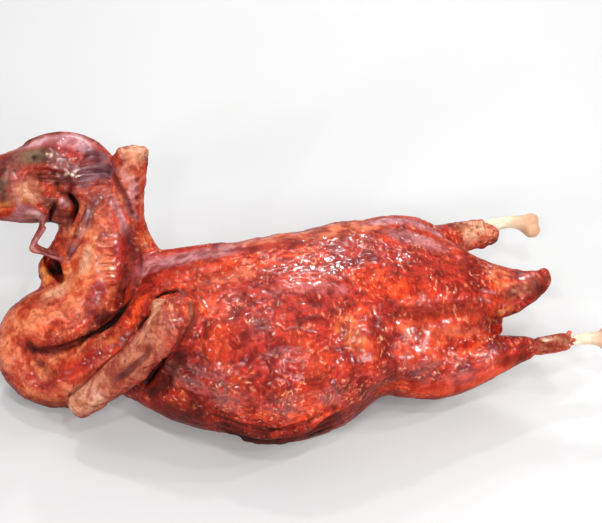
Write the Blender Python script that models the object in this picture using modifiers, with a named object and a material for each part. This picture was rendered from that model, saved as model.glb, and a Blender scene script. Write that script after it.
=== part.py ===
"""Whole roast duck, lying on its breast with its neck curled back on itself.

The bird is one solid: trunk, tail, neck, head, both wing stumps and both legs grow into each other.
The two shank bones that stick out of the drumsticks are solids of their own, each held in a socket.

Frame: +X points to the tail, +Y to the bird's right, +Z up. The origin is the bottom centre of the
whole bird's bounding box. Stations below are in centimetres from a point on the table under the
middle of the trunk; at the end everything is moved so that the origin is where it should be.
"""

import math

import bmesh
import bpy
from mathutils import Matrix, Vector

CM = 0.01

# How the melted skin is made, in metres
VOXEL = 0.0022  # grid on which the limbs melt together
SMOOTH_PASSES = 5  # passes that round the hollows between the limbs
BIRD_TRIANGLES = 7400
BONE_VOXEL = 0.0009
BONE_TRIANGLES = 400
BONE_GAP = 0.0003  # clearance between a bone and its socket
TABLE = (0.8, 0.6, 0.1)  # block that cuts the flat spot under the breast

# How finely a loft is drawn
TRUNK_SIDES = 56
LIMB_SIDES = 28
THIN_SIDES = 12
RINGS_PER_SPAN = 5
DOME_RINGS = 4
DOME_REACH = 0.8  # length of a rounded end over the limb's half width
SQUARENESS = 0.86  # 1 makes the trunk's sections elliptical, less makes them squarer

# Trunk, from the neck's root to the tail's root: (along, across, half width, bottom, top)
TRUNK = (
    (-10.4, 2.6, 2.4, 4.6, 7.4),
    (-9.4, 2.6, 3.7, 3.2, 8.2),
    (-8.0, 2.3, 4.9, 2.0, 8.8),
    (-6.0, 1.5, 6.2, 0.7, 9.3),
    (-4.0, 1.0, 6.9, -0.1, 9.6),
    (-1.5, 0.8, 7.2, -0.45, 9.8),
    (1.5, 1.1, 6.9, -0.45, 9.8),
    (4.0, 2.2, 6.3, -0.2, 9.5),
    (6.0, 2.4, 5.9, 0.4, 9.2),
    (8.0, 2.3, 5.4, 1.4, 8.7),
    (10.0, 2.0, 4.6, 2.6, 8.1),
    (11.6, 1.6, 3.3, 3.8, 7.5),
    (12.8, 1.2, 2.2, 4.5, 7.0),
)

# Limbs: (along, across, up, half width, half height) at each station
TAIL = (
    (10.8, 1.4, 5.8, 2.7, 1.4),
    (12.3, 1.1, 5.8, 2.4, 1.25),
    (13.6, 0.8, 5.8, 2.1, 1.05),
    (14.5, 0.7, 5.9, 1.7, 0.85),
    (15.5, 0.8, 6.1, 1.1, 0.65),
    (16.3, 1.0, 6.3, 0.75, 0.5),
)
VENT = (
    (10.0, 0.4, 4.6, 1.9, 1.7),
    (11.2, -0.1, 4.8, 1.5, 1.4),
    (12.1, -0.45, 4.95, 1.15, 1.1),
)
FLANK = (
    (0.6, -3.0, 5.9, 2.4, 2.2),
    (2.8, -2.8, 5.9, 2.3, 2.1),
    (5.0, -2.5, 5.7, 2.2, 1.9),
    (7.2, -2.4, 5.1, 2.1, 1.8),
)
BREAST = (
    (-10.4, 1.6, 3.0, 2.2, 1.8),
    (-8.6, 1.2, 3.2, 3.7, 2.6),
    (-6.4, 0.9, 3.5, 5.3, 3.3),
    (-4.0, 0.8, 3.9, 6.3, 3.7),
)
LEFT_LEG = (
    (4.5, -1.4, 4.2, 2.2, 2.3),
    (6.4, -2.1, 4.0, 2.4, 2.6),
    (8.4, -2.6, 3.7, 2.25, 2.4),
    (10.4, -2.8, 3.7, 1.75, 1.85),
    (12.2, -2.8, 3.85, 1.2, 1.3),
    (13.6, -2.8, 4.0, 0.82, 0.86),
    (15.2, -2.8, 4.1, 0.6, 0.6),
    (16.8, -2.9, 4.2, 0.56, 0.56),
)
RIGHT_LEG = (
    (4.6, 5.4, 5.7, 2.4, 2.8),
    (6.8, 5.5, 5.9, 2.5, 2.8),
    (8.8, 5.8, 5.6, 2.2, 2.5),
    (10.6, 6.6, 5.1, 1.5, 1.5),
    (12.2, 7.2, 5.0, 1.15, 1.15),
    (13.7, 7.5, 4.8, 0.85, 0.9),
    (14.8, 7.6, 4.7, 0.85, 0.85),
)
NECK = (
    (-6.4, 2.2, 7.0, 2.2, 2.2),
    (-8.2, 2.2, 6.7, 2.1, 2.1),
    (-10.2, 2.2, 5.2, 2.0, 2.0),
    (-12.2, 2.2, 3.6, 1.95, 1.95),
    (-14.4, 2.5, 2.2, 1.95, 1.95),
    (-16.3, 3.3, 1.8, 1.85, 1.85),
    (-17.3, 4.6, 2.4, 1.75, 1.75),
    (-16.9, 5.3, 3.3, 2.0, 2.0),
    (-15.9, 5.4, 4.0, 2.3, 2.3),
    (-14.5, 5.3, 4.4, 2.5, 2.5),
    (-12.9, 5.7, 4.9, 2.5, 2.5),
    (-11.5, 7.1, 6.1, 2.25, 2.25),
    (-11.0, 8.0, 7.8, 1.9, 1.9),
    (-10.7, 8.7, 8.9, 1.65, 1.65),
    (-10.7, 9.4, 9.9, 1.5, 1.5),
    (-11.1, 10.1, 10.8, 1.5, 1.5),
)
LEFT_WING = (
    (-6.8, -0.2, 8.4, 1.4, 1.2),
    (-7.7, -0.6, 9.1, 1.35, 1.15),
    (-8.6, -1.1, 8.3, 1.35, 1.15),
    (-10.3, -1.1, 6.5, 1.25, 1.05),
    (-12.1, -0.9, 4.8, 1.15, 0.95),
    (-14.1, -0.55, 2.85, 1.05, 0.9),
)
RIGHT_SHOULDER = (
    (-1.6, 5.5, 7.1, 1.2, 1.2),
    (-3.4, 5.7, 7.2, 1.2, 1.3),
    (-5.4, 5.8, 7.1, 1.3, 1.4),
    (-7.6, 6.0, 6.9, 1.3, 1.4),
    (-9.0, 6.5, 6.7, 1.2, 1.3),
)
RIGHT_WING = (
    (-8.6, 6.8, 6.6, 1.3, 1.3),
    (-9.0, 7.6, 7.8, 1.05, 1.05),
    (-9.4, 8.4, 9.1, 1.0, 1.0),
    (-9.4, 9.2, 10.4, 1.05, 1.05),
    (-9.1, 9.9, 11.6, 1.15, 1.15),
    (-8.8, 10.6, 12.7, 1.15, 1.1),
)
GULLET = (
    (-11.9, 9.4, 9.7, 0.9, 0.9),
    (-12.5, 8.8, 8.5, 1.0, 0.95),
    (-13.2, 8.1, 7.3, 1.15, 0.95),
    (-13.9, 7.2, 6.2, 1.2, 1.0),
)
THROAT_SKIN = (
    (-12.9, 9.4, 9.2, 0.6, 0.5),
    (-13.5, 9.0, 8.4, 0.7, 0.5),
    (-14.3, 8.4, 7.5, 0.75, 0.6),
    (-14.8, 7.9, 6.8, 0.8, 0.75),
    (-14.8, 7.3, 6.1, 0.75, 0.7),
    (-14.3, 6.8, 5.6, 0.7, 0.7),
)
WINDPIPE = (
    (-14.6, 9.9, 9.9, 0.2, 0.2),
    (-14.9, 9.3, 9.4, 0.2, 0.2),
    (-15.4, 8.8, 8.8, 0.19, 0.19),
    (-15.6, 8.6, 8.35, 0.19, 0.19),
    (-14.9, 8.3, 7.9, 0.19, 0.19),
    (-13.4, 8.0, 7.4, 0.2, 0.2),
)

# Head, as half sizes and as stations (forward of the skull's middle, above it, half width, half height)
SKULL_CENTRE = Vector((-13.35, 11.4, 11.3))
SKULL_SIZE = (3.65, 2.1, 2.95)
HEAD_FORWARD = Vector((-1.0, 0.05, -0.05)).normalized()
HEAD_UP = Vector((0.05, 0.5, 0.85)).normalized()
FACE = (
    (1.0, -0.25, 1.95, 2.9),
    (2.6, -0.3, 1.85, 2.7),
    (3.9, -0.4, 1.65, 2.35),
    (4.7, -0.65, 1.5, 1.8),
    (5.6, -1.0, 1.4, 1.2),
    (7.0, -1.3, 1.45, 0.7),
    (8.3, -1.5, 1.4, 0.5),
    (9.0, -1.55, 1.0, 0.4),
)

# Shank bones: (along, across, up, half width, half height), from inside the leg to the knuckle
SPANS_IN_SOCKET = 1
LEFT_BONE = (
    (13.8, -2.85, 4.0, 0.36, 0.36),
    (17.6, -2.98, 4.25, 0.37, 0.37),
    (18.4, -3.15, 4.3, 0.43, 0.43),
    (19.0, -3.3, 4.25, 0.58, 0.58),
)
LEFT_KNUCKLES = ((19.3, -3.1, 4.5), (19.3, -3.55, 4.05))
RIGHT_BONE = (
    (11.8, 7.35, 5.1, 0.44, 0.44),
    (15.6, 8.12, 5.0, 0.44, 0.44),
    (16.7, 8.15, 4.9, 0.46, 0.46),
    (17.4, 7.95, 4.75, 0.6, 0.6),
)
RIGHT_KNUCKLES = ((17.8, 8.0, 4.95), (17.8, 7.55, 4.45))
KNUCKLE_SIZE = (0.62, 0.52, 0.55)

SKIN = (0.46, 0.07, 0.025)
BONE = (0.78, 0.66, 0.45)


def clear_scene():
    for obj in list(bpy.data.objects):
        bpy.data.objects.remove(obj)


def collection(name):
    made = bpy.data.collections.new(name)
    bpy.context.scene.collection.children.link(made)
    return made


def material(name, colour, roughness):
    made = bpy.data.materials.new(name)
    made.use_nodes = True
    shader = made.node_tree.nodes["Principled BSDF"]
    shader.inputs["Base Color"].default_value = (*colour, 1.0)
    shader.inputs["Roughness"].default_value = roughness
    shader.inputs["Metallic"].default_value = 0.0
    return made


def between(stations, place):
    """The values at a place along the stations, on a smooth curve through them all."""
    last = len(stations) - 1
    i = min(int(place), last - 1)
    t = place - i
    a = stations[max(i - 1, 0)]
    b = stations[i]
    c = stations[i + 1]
    d = stations[min(i + 2, last)]
    return [
        q + 0.5 * t * ((r - p) + t * ((2 * p - 5 * q + 4 * r - s) + t * (3 * q - p - 3 * r + s)))
        for p, q, r, s in zip(a, b, c, d)
    ]


def along(stations):
    """All the rings' values, from the first station to the last."""
    steps = (len(stations) - 1) * RINGS_PER_SPAN
    return [between(stations, n / RINGS_PER_SPAN) for n in range(steps + 1)]


def object_from(bm, name, home):
    bmesh.ops.recalc_face_normals(bm, faces=bm.faces[:])
    mesh = bpy.data.meshes.new(name)
    bm.to_mesh(mesh)
    bm.free()
    made = bpy.data.objects.new(name, mesh)
    home.objects.link(made)
    return made


def loft(name, rings, home):
    """One closed body through rings of points that all have the same count."""
    bm = bmesh.new()
    rows = [[bm.verts.new(point * CM) for point in ring] for ring in rings]
    for first, second in zip(rows, rows[1:]):
        for k in range(len(first)):
            m = (k + 1) % len(first)
            bm.faces.new((first[k], first[m], second[m], second[k]))
    bm.faces.new(tuple(reversed(rows[0])))
    bm.faces.new(tuple(rows[-1]))
    return object_from(bm, name, home)


def squarish(value):
    return math.copysign(abs(value) ** SQUARENESS, value)


def trunk(home):
    """Broad upright sections, each a little squarer than an ellipse."""
    rings = []
    for x, y, half, bottom, top in along(TRUNK):
        ring = []
        for k in range(TRUNK_SIDES):
            angle = 2 * math.pi * k / TRUNK_SIDES
            side = half * squarish(math.cos(angle))
            rise = (top - bottom) / 2 * squarish(math.sin(angle))
            ring.append(Vector((x, y + side, (top + bottom) / 2 + rise)))
        rings.append(ring)
    return loft("trunk", rings, home)


def rounded_end(row, way):
    """Rings that shrink to close one end of a limb as a dome."""
    point, tangent, side, half_width, half_height = row
    reach = DOME_REACH * min(half_width, half_height)
    rows = []
    for n in range(1, DOME_RINGS + 1):
        angle = 0.5 * math.pi * n / (DOME_RINGS + 0.3)
        shrink = math.cos(angle)
        shifted = point + tangent * (way * reach * math.sin(angle))
        rows.append((shifted, tangent, side, half_width * shrink, half_height * shrink))
    return rows


def limb(name, stations, home, sides=LIMB_SIDES, extra=0.0, spans=None):
    """Elliptical rings, each extra wider than its station says, along so many spans of a curved path."""
    values = along(stations)
    if spans:
        values = values[: spans * RINGS_PER_SPAN + 1]
    points = [Vector(value[:3]) for value in values]
    last = len(points) - 1
    tangents = [(points[min(n + 1, last)] - points[max(n - 1, 0)]).normalized() for n in range(last + 1)]
    side = tangents[0].cross(Vector((0, 0, 1)))
    rows = []
    for point, tangent, value in zip(points, tangents, values):
        side = (side - tangent * side.dot(tangent)).normalized()
        rows.append((point, tangent, side.copy(), value[3] + extra, value[4] + extra))
    rows = rounded_end(rows[0], -1)[::-1] + rows + rounded_end(rows[-1], 1)
    rings = []
    for point, tangent, side, half_width, half_height in rows:
        up = side.cross(tangent)
        angles = [2 * math.pi * k / sides for k in range(sides)]
        rings.append(
            [point + side * half_width * math.cos(a) + up * half_height * math.sin(a) for a in angles]
        )
    return loft(name, rings, home)


def ball(name, centre, size, home, turn=Matrix.Identity(3)):
    """An ellipsoid of the given half sizes, turned by a rotation matrix."""
    bm = bmesh.new()
    bmesh.ops.create_uvsphere(bm, u_segments=LIMB_SIDES, v_segments=LIMB_SIDES // 2, radius=CM)
    place = Matrix.Translation(Vector(centre) * CM) @ turn.to_4x4() @ Matrix.Diagonal((*size, 1))
    bmesh.ops.transform(bm, matrix=place, verts=bm.verts)
    return object_from(bm, name, home)


def head(home):
    """The skull, and a loft that runs from it through the face to the bill's tip."""
    up = (HEAD_UP - HEAD_FORWARD * HEAD_UP.dot(HEAD_FORWARD)).normalized()
    turn = Matrix((HEAD_FORWARD, up.cross(HEAD_FORWARD), up)).transposed()
    skull = ball("skull", SKULL_CENTRE, SKULL_SIZE, home, turn)
    stations = [
        (*(SKULL_CENTRE + HEAD_FORWARD * forward + up * above), half_width, half_height)
        for forward, above, half_width, half_height in FACE
    ]
    return [skull, limb("face", stations, home)]


def join(objects, name, home):
    """One object that holds the faces of several, which are removed."""
    bm = bmesh.new()
    for obj in objects:
        bm.from_mesh(obj.data)
        bpy.data.objects.remove(obj)
    return object_from(bm, name, home)


def modifier(obj, kind, name, **settings):
    made = obj.modifiers.new(name, kind)
    for key, value in settings.items():
        setattr(made, key, value)
    return made


def outer_shell(obj):
    """Drops the skins of pockets that are shut in between the limbs, so that the body is solid."""
    bm = bmesh.new()
    bm.from_mesh(obj.data)
    unseen = set(bm.verts)
    shells = []
    while unseen:
        edge = [unseen.pop()]
        shell = set(edge)
        while edge:
            near = {link.other_vert(vert) for vert in edge for link in vert.link_edges} - shell
            shell |= near
            edge = list(near)
        unseen -= shell
        shells.append(shell)
    shells.sort(key=len)
    bmesh.ops.delete(bm, geom=[vert for shell in shells[:-1] for vert in shell], context="VERTS")
    bm.to_mesh(obj.data)
    bm.free()


def melt(obj, voxel, passes, triangles):
    """Turns overlapping bodies into one smooth closed skin of so many triangles."""
    modifier(obj, "REMESH", "one skin", mode="VOXEL", voxel_size=voxel)
    skin = bpy.data.meshes.new_from_object(obj.evaluated_get(bpy.context.evaluated_depsgraph_get()))
    obj.modifiers.clear()
    obj.data = skin
    outer_shell(obj)
    had = sum(len(face.vertices) - 2 for face in skin.polygons)
    modifier(obj, "SMOOTH", "rounded joins", factor=0.5, iterations=passes)
    modifier(obj, "DECIMATE", "fewer faces", ratio=triangles / had)


def as_cutter(obj):
    obj.hide_render = True
    obj.display_type = "WIRE"
    return obj


def floor_block(home):
    """Everything below the table: it cuts the small flat spot that the breast rests on."""
    bm = bmesh.new()
    bmesh.ops.create_cube(bm, size=1.0)
    bmesh.ops.scale(bm, vec=TABLE, verts=bm.verts)
    bmesh.ops.translate(bm, vec=(0.0, 0.0, -TABLE[2] / 2), verts=bm.verts)
    return as_cutter(object_from(bm, "table", home))


def bird(home, cutters):
    limbs = {
        "tail": TAIL,
        "vent": VENT,
        "flank": FLANK,
        "breast": BREAST,
        "left_leg": LEFT_LEG,
        "right_leg": RIGHT_LEG,
        "neck": NECK,
        "left_wing": LEFT_WING,
        "right_shoulder": RIGHT_SHOULDER,
        "right_wing": RIGHT_WING,
        "gullet": GULLET,
        "throat_skin": THROAT_SKIN,
    }
    shapes = [trunk(home), *head(home)]
    shapes += [limb(name, stations, home) for name, stations in limbs.items()]
    duck = join(shapes, "duck", home)
    duck.data.materials.append(material("roast skin", SKIN, 0.3))
    melt(duck, VOXEL, SMOOTH_PASSES, BIRD_TRIANGLES)
    windpipe = as_cutter(limb("windpipe", WINDPIPE, cutters, sides=THIN_SIDES))
    modifier(duck, "BOOLEAN", "windpipe", operation="UNION", object=windpipe)
    for name, stations in (("left_socket", LEFT_BONE), ("right_socket", RIGHT_BONE)):
        extra = BONE_GAP / CM
        socket = as_cutter(limb(name, stations, cutters, THIN_SIDES, extra, SPANS_IN_SOCKET))
        modifier(duck, "BOOLEAN", name, operation="DIFFERENCE", object=socket)
    modifier(duck, "BOOLEAN", "flat spot", operation="DIFFERENCE", object=floor_block(cutters))
    return duck


def leg_bone(name, stations, knuckles, finish, home):
    shaft = limb("shaft", stations, home, sides=THIN_SIDES)
    knobs = [ball("knuckle", centre, KNUCKLE_SIZE, home) for centre in knuckles]
    bone = join([shaft, *knobs], name, home)
    bone.data.materials.append(finish)
    melt(bone, BONE_VOXEL, SMOOTH_PASSES, BONE_TRIANGLES)
    return bone


def stand_on_origin(nodes, cutters):
    """Hangs everything on an empty and moves that, so that the origin is the box's bottom centre."""
    frame = bpy.data.objects.new("frame", None)
    nodes[0].users_collection[0].objects.link(frame)
    for obj in [*nodes, *cutters.objects]:
        obj.parent = frame
    graph = bpy.context.evaluated_depsgraph_get()
    corners = [
        obj.matrix_world @ vertex.co for obj in nodes for vertex in obj.evaluated_get(graph).data.vertices
    ]
    low = Vector(min(corner[k] for corner in corners) for k in range(3))
    high = Vector(max(corner[k] for corner in corners) for k in range(3))
    frame.location = (-(low.x + high.x) / 2, -(low.y + high.y) / 2, 0.0)
    print("size in mm:", [round(1000 * side, 1) for side in high - low], "moved by", frame.location[:])


def main():
    clear_scene()
    home = collection("roast duck")
    cutters = collection("cutters")
    duck = bird(home, cutters)
    finish = material("shank bone", BONE, 0.55)
    left = leg_bone("leg_bone_left", LEFT_BONE, LEFT_KNUCKLES, finish, home)
    right = leg_bone("leg_bone_right", RIGHT_BONE, RIGHT_KNUCKLES, finish, home)
    stand_on_origin([duck, left, right], cutters)


main()
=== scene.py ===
# %% [markdown]
# # A whole roast duck
# This lesson dresses a roast duck that still has its head, neck, wing stumps and legs.
# A fixed frame gives its true size: one solid for the bird and one for each shank bone.
# The frame is loaded first and never moved. Every piece made below takes its place from it.

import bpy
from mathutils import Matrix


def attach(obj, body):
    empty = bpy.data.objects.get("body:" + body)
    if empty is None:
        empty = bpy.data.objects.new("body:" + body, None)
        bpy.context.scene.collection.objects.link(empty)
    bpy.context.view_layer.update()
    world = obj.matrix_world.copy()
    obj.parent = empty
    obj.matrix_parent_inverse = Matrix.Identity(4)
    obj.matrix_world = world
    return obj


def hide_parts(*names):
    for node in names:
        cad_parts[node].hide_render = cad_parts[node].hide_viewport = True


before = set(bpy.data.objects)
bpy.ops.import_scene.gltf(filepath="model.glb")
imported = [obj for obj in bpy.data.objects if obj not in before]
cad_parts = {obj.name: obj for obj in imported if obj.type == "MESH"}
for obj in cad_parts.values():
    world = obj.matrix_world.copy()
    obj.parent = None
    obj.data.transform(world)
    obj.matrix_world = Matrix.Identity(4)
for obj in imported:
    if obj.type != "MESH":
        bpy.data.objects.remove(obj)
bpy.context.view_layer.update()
print("solids in the frame:", sorted(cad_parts))

# %% [markdown]
# ## From a faceted solid to soft skin
# Real skin has no flat facets. The bird's solid could be subdivided, but a subdivision keeps the
# uneven triangles, and they show in wet highlights. So a copy is subdivided once, joined with the
# small extra forms, and then remeshed on a fine grid, which melts everything into one even skin.
# All the numbers that place things are in centimetres, because that is how a cook would measure.

# %% Copy a solid out of the frame
import math

import bmesh
import bpy
import numpy as np
from mathutils import Matrix, Vector, kdtree, noise

CM = 0.01


def made(shape, name):
    """A new object that takes over the edited mesh `shape`."""
    mesh = bpy.data.meshes.new(name)
    shape.to_mesh(mesh)
    shape.free()
    piece = bpy.data.objects.new(name, mesh)
    bpy.context.scene.collection.objects.link(piece)
    return piece


def copy_of(node, name):
    """A copy of one of the frame's solids, with its loose facets welded together."""
    shape = bmesh.new()
    shape.from_mesh(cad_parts[node].data)
    bmesh.ops.remove_doubles(shape, verts=shape.verts, dist=0.00002)
    bmesh.ops.recalc_face_normals(shape, faces=shape.faces)
    return made(shape, name)


bird = copy_of("duck", "roast_duck_skin")
print("facets in the bird's solid:", len(bird.data.polygons))

# %% Helpers that change a whole mesh


def modify(piece, kind, **settings):
    """Adds one modifier and applies it straight away."""
    modifier = piece.modifiers.new(kind.lower(), kind)
    for setting, value in settings.items():
        setattr(modifier, setting, value)
    graph = bpy.context.evaluated_depsgraph_get()
    mesh = bpy.data.meshes.new_from_object(piece.evaluated_get(graph))
    piece.modifiers.clear()
    piece.data = mesh


def weld_together(pieces, name):
    """One object that holds the meshes of all the pieces, which are removed."""
    shape = bmesh.new()
    for piece in pieces:
        shape.from_mesh(piece.data)
        bpy.data.objects.remove(piece)
    return made(shape, name)


# %% [markdown]
# ## Rods: one helper for folds, strands and slits
# Most small forms on a roast bird are long and soft: a lip of skin, a twisted windpipe, a slit.
# Each could be a curve with a bevel, but a bevel is always round. A loft is only a little longer
# to write, and its section can be flat, so the same helper also cuts deep and narrow slits.

# %% A smooth curve through a few rows, and a rod along it


def smooth_rows(rows, step=0.1):
    """Rows about `step` cm apart on the curve that passes through all the given rows."""
    rows = np.asarray(rows, float)
    padded = np.vstack([2 * rows[0] - rows[1], rows, 2 * rows[-1] - rows[-2]])
    result = []
    for before, start, end, after in zip(padded, padded[1:], padded[2:], padded[3:]):
        count = max(2, int(np.linalg.norm(end[:3] - start[:3]) / step))
        for t in np.arange(count) / count:
            result.append(
                0.5 * (2 * start + (end - before) * t)
                + 0.5 * (2 * before - 5 * start + 4 * end - after) * t**2
                + 0.5 * (3 * start - before - 3 * end + after) * t**3
            )
    result.append(rows[-1])
    return np.array(result)


def unit(vectors):
    """The same directions with a length of one."""
    return vectors / np.maximum(np.linalg.norm(vectors, axis=-1, keepdims=True), 1e-9)


def rod(rows, facing=(0.0, -0.5, 0.85)):
    """A closed rod. A row is x, y, z, half its width across `facing`, half its depth along it."""
    sides = 16
    rows = smooth_rows(rows)
    centres = rows[:, :3]
    along = unit(np.gradient(centres, axis=0))
    across = unit(np.cross(along, np.asarray(facing, float)))
    outward = np.cross(across, along)
    turns = np.linspace(0, 2 * math.pi, sides, endpoint=False)
    rings = (
        centres[:, None]
        + rows[:, 3, None, None] * np.cos(turns)[None, :, None] * across[:, None]
        + rows[:, 4, None, None] * np.sin(turns)[None, :, None] * outward[:, None]
    )
    shape = bmesh.new()
    corners = [shape.verts.new(corner) for corner in rings.reshape(-1, 3) * CM]
    shape.faces.new(corners[:sides])
    shape.faces.new(corners[-sides:])
    for ring, after in zip(range(0, len(corners), sides), range(sides, len(corners), sides)):
        for side in range(sides):
            turn = (side + 1) % sides
            shape.faces.new([corners[i] for i in (ring + side, ring + turn, after + turn, after + side)])
    bmesh.ops.recalc_face_normals(shape, faces=shape.faces)
    return made(shape, "rod")


def lump(x, y, z, wide, deep, tall):
    """A closed egg with three half sizes."""
    shape = bmesh.new()
    size = Matrix.Diagonal((wide * CM, deep * CM, tall * CM, 1.0))
    place = Matrix.Translation(Vector((x, y, z)) * CM)
    bmesh.ops.create_icosphere(shape, subdivisions=3, radius=1.0, matrix=place @ size)
    return made(shape, "lump")


# %% [markdown]
# ## Slits and hollows
# The deep dark places of the bird are real openings: the hollow of the cut throat, the gap where
# the neck lies folded on itself, the gap behind the jaw, and the slits around the wing stump.
# Painting them black would only work from one side, so they are cut out of the solid.
# Their insides still get near-black painted shade further on.

# %% Cut the slits and hollows
AWAY = (0.15, 0.73, -0.67)  # from the bird's left side, inwards and down

THROAT_HOLLOW = (
    (-14, 4.5, 8.2, 0.1, 0.2), (-13.5, 3.9, 7.6, 0.46, 1), (-13.1, 3.3, 7, 0.48, 1),
    (-12.8, 2.8, 6.3, 0.1, 0.3),
)
THROAT_GROOVE = (
    (-10.6, 5.1, 10.6, 0.03, 0.1), (-10.8, 4.8, 10, 0.1, 0.4), (-11.2, 4.5, 9.3, 0.13, 0.5),
    (-11.7, 4.2, 8.6, 0.12, 0.5), (-12.3, 3.8, 7.9, 0.05, 0.2),
)
NECK_FOLD = (
    (-15.6, 0, 4.5, 0.05, 0.2), (-14.7, -0.6, 4.3, 0.09, 0.5), (-13, -0.9, 4.7, 0.12, 0.7),
    (-11.4, -1.2, 5.7, 0.17, 0.8), (-10.2, -1.4, 6.6, 0.2, 0.8), (-9.4, -1.2, 7.4, 0.13, 0.5),
    (-8.9, -0.9, 7.9, 0.05, 0.2),
)
BEHIND_JAW = (
    (-11.9, 6, 12.1, 0.04, 0.1), (-11.6, 5.65, 11.4, 0.12, 0.6), (-11.35, 5.45, 10.7, 0.17, 0.8),
    (-11.5, 5.25, 10, 0.17, 0.8), (-11.9, 5.2, 9.3, 0.07, 0.3),
)
JAW_CREASE = (
    (-12.5, 5.5, 11.2, 0.05, 0.1), (-12.8, 5.5, 10.6, 0.12, 0.3), (-13, 5.7, 9.9, 0.14, 0.35),
    (-13.1, 6.1, 9, 0.1, 0.3),
)
WING_FRONT_SLIT = (
    (-8, -2.8, 8.1, 0.04, 0.1), (-8.35, -3.2, 7.8, 0.08, 0.4), (-8.75, -3.6, 7.6, 0.09, 0.4),
    (-9.1, -3.9, 7.35, 0.04, 0.2),
)
WING_TOP_SLIT = (
    (-7.5, -2, 8.55, 0.1, 0.3), (-7.1, -1.85, 8.75, 0.15, 0.4), (-6.6, -1.85, 8.9, 0.15, 0.4),
    (-6.1, -2, 9, 0.1, 0.3), (-5.85, -2.15, 9.05, 0.04, 0.1),
)
WING_BACK_SLIT = (
    (-6.2, -5.3, 8.6, 0.05, 0.1), (-6.7, -5.5, 8, 0.1, 0.4), (-7.3, -5.6, 7.3, 0.16, 0.6),
    (-8, -5.2, 5.9, 0.24, 0.7), (-8.8, -4.9, 4.2, 0.2, 0.5),
)

THROAT_AND_NECK = (THROAT_HOLLOW, THROAT_GROOVE, NECK_FOLD, BEHIND_JAW, JAW_CREASE)
tools = [rod(rows, AWAY) for rows in (*THROAT_AND_NECK, WING_FRONT_SLIT, WING_BACK_SLIT)]
cuts = weld_together(tools + [rod(WING_TOP_SLIT, (0.0, 0.5, -0.86))], "cuts")
modify(cuts, "REMESH", mode="VOXEL", voxel_size=0.0006)
modify(bird, "SUBSURF", levels=1)
modify(bird, "BOOLEAN", operation="DIFFERENCE", object=cuts, solver="EXACT")
bpy.data.objects.remove(cuts)
print("faces after the cuts:", len(bird.data.polygons))

# %% [markdown]
# ## Lips, strands and knobs
# Small raised forms are added before the skin melts together, so that they grow out of it
# without a seam: the lip of skin above the wing, the second strand of the windpipe, the skin
# layers that sag in pleats under the breast, the lids of the closed eye and the knobs of the jaw.

# %% Add the raised forms
WING_LIP = (
    (-7.6, -1.5, 8.65, 0.1, 0.1), (-7.1, -1.4, 8.85, 0.16, 0.16), (-6.5, -1.4, 9, 0.17, 0.16),
    (-6, -1.55, 9.1, 0.14, 0.12), (-5.6, -1.8, 9.15, 0.06, 0.05),
)
WIND_STRAND = (
    (-13.4, 5.3, 9.4, 0.12, 0.12), (-13.9, 5, 8.9, 0.14, 0.14), (-14.5, 4.6, 8.3, 0.15, 0.15),
    (-13.7, 4.2, 8.1, 0.13, 0.13), (-12.6, 3.7, 7.7, 0.12, 0.12),
)
TWISTED_STRAND = (
    (-10.6, 5, 10.7, 0.08, 0.08), (-10.8, 4.6, 10.1, 0.16, 0.16), (-11.1, 4.25, 9.5, 0.2, 0.18),
    (-11.5, 3.95, 9, 0.19, 0.18), (-12, 3.7, 8.4, 0.15, 0.15), (-12.4, 3.5, 7.9, 0.08, 0.08),
)
UPPER_LID = (
    (-13.9, 6.7, 13.2, 0.05, 0.05), (-13.2, 6.5, 13.25, 0.16, 0.13), (-12.5, 6.45, 13.15, 0.17, 0.13),
    (-11.9, 6.3, 12.9, 0.06, 0.06),
)
LOWER_LID = (
    (-13.8, 6.4, 12.85, 0.05, 0.05), (-13.2, 6.2, 12.8, 0.13, 0.1), (-12.5, 6.15, 12.7, 0.13, 0.1),
    (-11.9, 6.05, 12.5, 0.05, 0.05),
)

LUMPS = (
    (-12.1, 5.7, 10.7, 0.5, 0.35, 0.45),  # knob at the hinge of the jaw
    (-11.9, 5.7, 12, 0.5, 0.3, 0.4),  # ear fold
    (-13.9, 6.3, 9.9, 0.7, 0.35, 0.5),  # pad of the lower jaw
    (-7.3, -3.3, 9.15, 0.6, 0.6, 0.45),  # wing joint, front corner
    (-6, -4.1, 9.45, 0.75, 0.9, 0.65),  # wing joint, back corner
    (-6, -3.2, 9.5, 0.5, 0.5, 0.4),  # end of the wing's second bone
    (-7.4, 6.6, 13.3, 0.85, 0.6, 0.5),  # far wing joint
    (-7.95, 6.7, 13.35, 0.42, 0.5, 0.36),  # its two corners
    (-6.75, 6.75, 13.2, 0.45, 0.5, 0.4),
    (17.5, -2.75, 6.75, 0.35, 0.35, 0.3),  # blunt end of the tail
    (13.75, -4.8, 5.1, 0.4, 0.35, 0.45),  # edge of the vent, above the leg
    (13.8, -4.95, 4.55, 0.4, 0.35, 0.45),
    (15.4, 3.3, 4.25, 0.35, 0.3, 0.2),  # shred of meat under the far shank
    (15.2, 4.1, 5.75, 0.6, 0.3, 0.16),  # sinew along the top of the far shank
    (18.1, -6.35, 4.75, 0.35, 0.3, 0.14),  # torn edge round the near bone
    (18.2, -6.9, 4.2, 0.3, 0.22, 0.16),
)

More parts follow.
